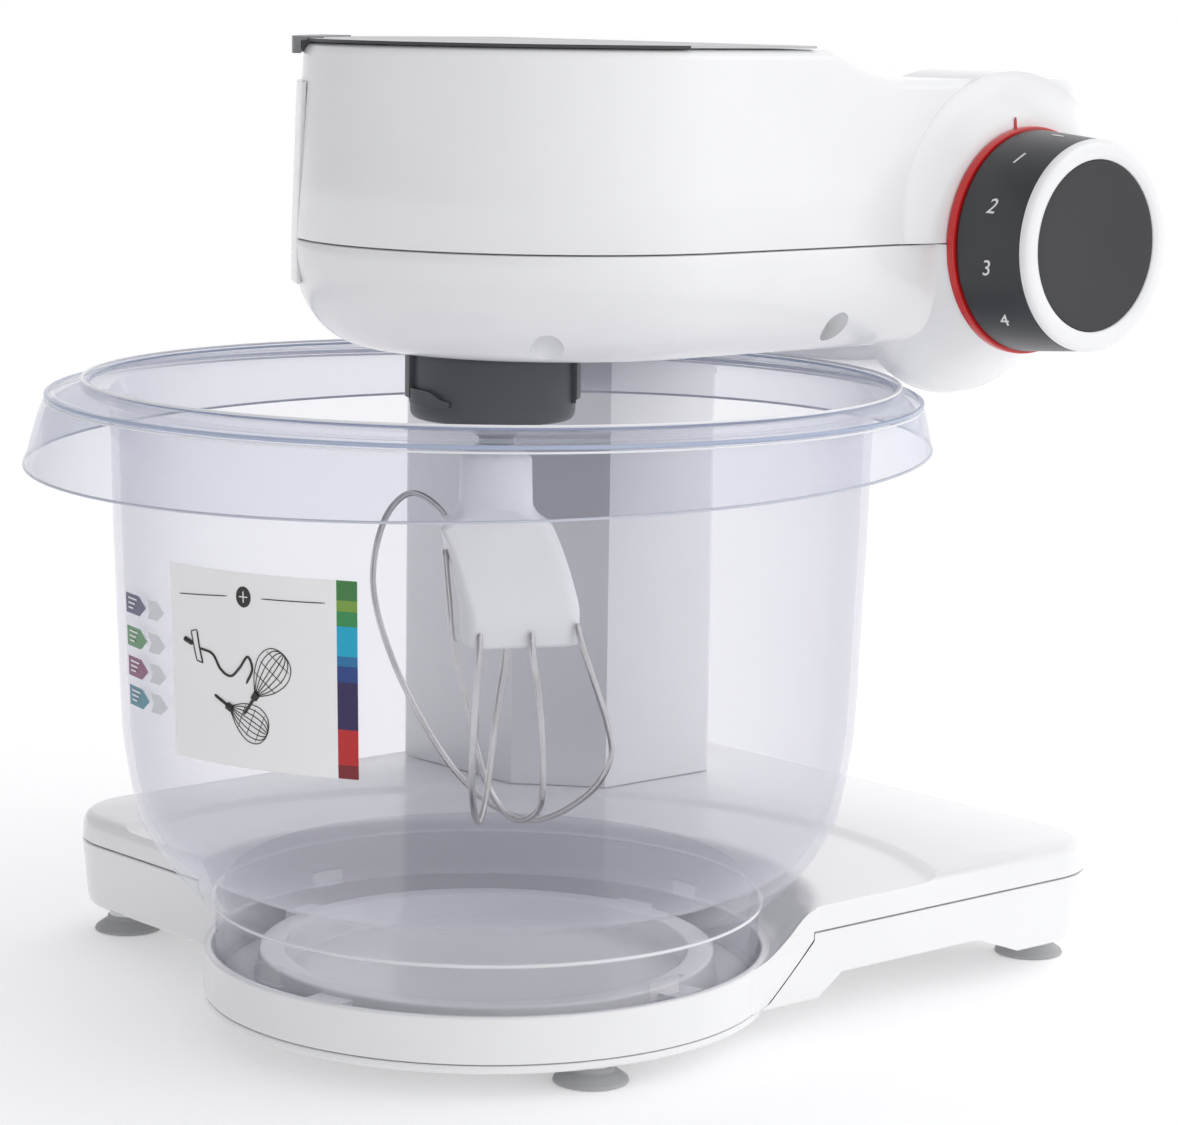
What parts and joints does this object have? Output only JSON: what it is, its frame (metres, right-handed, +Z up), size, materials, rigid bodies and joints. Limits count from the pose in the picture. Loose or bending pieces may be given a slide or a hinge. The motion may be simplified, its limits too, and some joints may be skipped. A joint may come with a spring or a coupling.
{
  "type": "stand mixer",
  "caption": "Tilt-arm kitchen stand mixer with a clear bowl and splash ring, a planetary whisk, a speed knob on the arm's side and a low platform on suction feet.",
  "frame": {"origin": "middle of the bounding box's bottom face, on the surface the feet stand on", "axes": "+X towards the back of the arm, +Y away from the speed knob, +Z up"},
  "size_m": [0.3352, 0.302, 0.2917],
  "materials": {
    "white_plastic": "gloss",
    "dark_grey_plastic": "satin",
    "charcoal_plastic": "satin",
    "black_plastic": "satin",
    "red_plastic": "satin",
    "clear_plastic": "gloss",
    "rubber": "matte",
    "steel": "satin",
    "zinc": "cast",
    "bronze": "satin",
    "copper": "wound wire",
    "board": "satin"
  },
  "bodies": {
    "base": {"base_bottom_shell": "white_plastic", "base_screw_1": "steel", "base_screw_2": "steel", "base_screw_3": "steel", "base_screw_4": "steel", "base_top_shell": "white_plastic", "column_frame": "zinc", "column_inner_shell": "white_plastic", "column_outer_shell": "white_plastic", "cord_gland": "dark_grey_plastic", "foot_front": "rubber", "foot_left": "rubber", "foot_rear": "rubber", "foot_right": "rubber", "pivot_shaft": "steel", "tilt_spring": "steel"},
    "arm": {"arm_upper_shell": "white_plastic", "arm_lower_shell": "white_plastic", "arm_chassis": "zinc", "pivot_bush_near": "bronze", "pivot_bush_far": "bronze", "gearbox_housing": "zinc", "ring_gear": "steel", "motor_stator": "steel", "motor_bearing_front": "bronze", "motor_bearing_rear": "bronze", "control_board": "board", "capacitor": "copper", "speed_switch": "dark_grey_plastic", "speed_light_ring": "red_plastic", "front_drive_socket": "dark_grey_plastic", "chassis_screw_1": "steel", "chassis_screw_2": "steel"},
    "motor": {"motor_shaft": "steel", "motor_rotor": "copper", "motor_worm": "steel", "motor_fan": "dark_grey_plastic"},
    "drive": {"drive_hub": "dark_grey_plastic", "drive_shaft": "steel", "worm_wheel": "bronze", "top_drive_coupling": "dark_grey_plastic"},
    "tool": {"tool_spindle": "steel", "planet_gear": "steel", "whisk_sleeve": "white_plastic", "whisk_body": "white_plastic", "whisk_wire_1": "steel", "whisk_wire_2": "steel", "whisk_wire_3": "steel"},
    "knob": {"knob_grip": "charcoal_plastic", "knob_trim_ring": "white_plastic", "knob_face": "black_plastic", "knob_shaft": "steel"},
    "top_cover": {"top_cover": "charcoal_plastic"},
    "front_cover": {"front_cover": "white_plastic"},
    "release": {"release_button": "dark_grey_plastic", "latch_bar": "steel"},
    "bowl": {"bowl": "clear_plastic"},
    "splash_ring": {"splash_ring": "clear_plastic"}
  },
  "joints": [
    {"name": "arm_tilt", "type": "hinge", "parent": "base", "child": "arm", "pos_m": [0.10864, -0.02104, 0.234], "axis": [0, 1, 0], "range_deg": [0, 55]},
    {"name": "drive_turn", "type": "hinge", "parent": "arm", "child": "drive", "pos_m": [-0.03236, -0.02104, 0.205], "axis": [0, 0, 1], "continuous": true},
    {"name": "motor_turn", "type": "hinge", "parent": "arm", "child": "motor", "pos_m": [-0.03236, 0.01296, 0.248], "axis": [1, 0, 0], "continuous": true},
    {"name": "tool_turn", "type": "hinge", "parent": "drive", "child": "tool", "pos_m": [-0.03906, -0.03114, 0.184], "axis": [0, 0, 1], "continuous": true},
    {"name": "speed_knob", "type": "hinge", "parent": "arm", "child": "knob", "pos_m": [0.10864, -0.10104, 0.234], "axis": [0, 1, 0], "range_deg": [-30, 120]},
    {"name": "top_cover_flip", "type": "hinge", "parent": "arm", "child": "top_cover", "pos_m": [0.02764, -0.02104, 0.29125], "axis": [0, 1, 0], "range_deg": [0, 100]},
    {"name": "front_cover_pull", "type": "slide", "parent": "arm", "child": "front_cover", "axis": [-0.6691, 0.7431, 0], "range_m": [0, 0.012]},
    {"name": "release_press", "type": "slide", "parent": "base", "child": "release", "axis": [-1, 0, 0], "range_m": [0, 0.004], "stiffness_N_per_m": 800, "springref_m": -0.001},
    {"name": "bowl_turn", "type": "hinge", "parent": "base", "child": "bowl", "pos_m": [-0.03236, -0.02104, 0.0146], "axis": [0, 0, 1], "range_deg": [0, 25]},
    {"name": "splash_ring_turn", "type": "hinge", "parent": "bowl", "child": "splash_ring", "pos_m": [-0.03236, -0.02104, 0.19], "axis": [0, 0, 1], "range_deg": [0, 20]}
  ],
  "couplings": [
    {"joint": "motor_turn", "follows": "drive_turn", "ratio": 22},
    {"joint": "tool_turn", "follows": "drive_turn", "ratio": -2.5833}
  ]
}
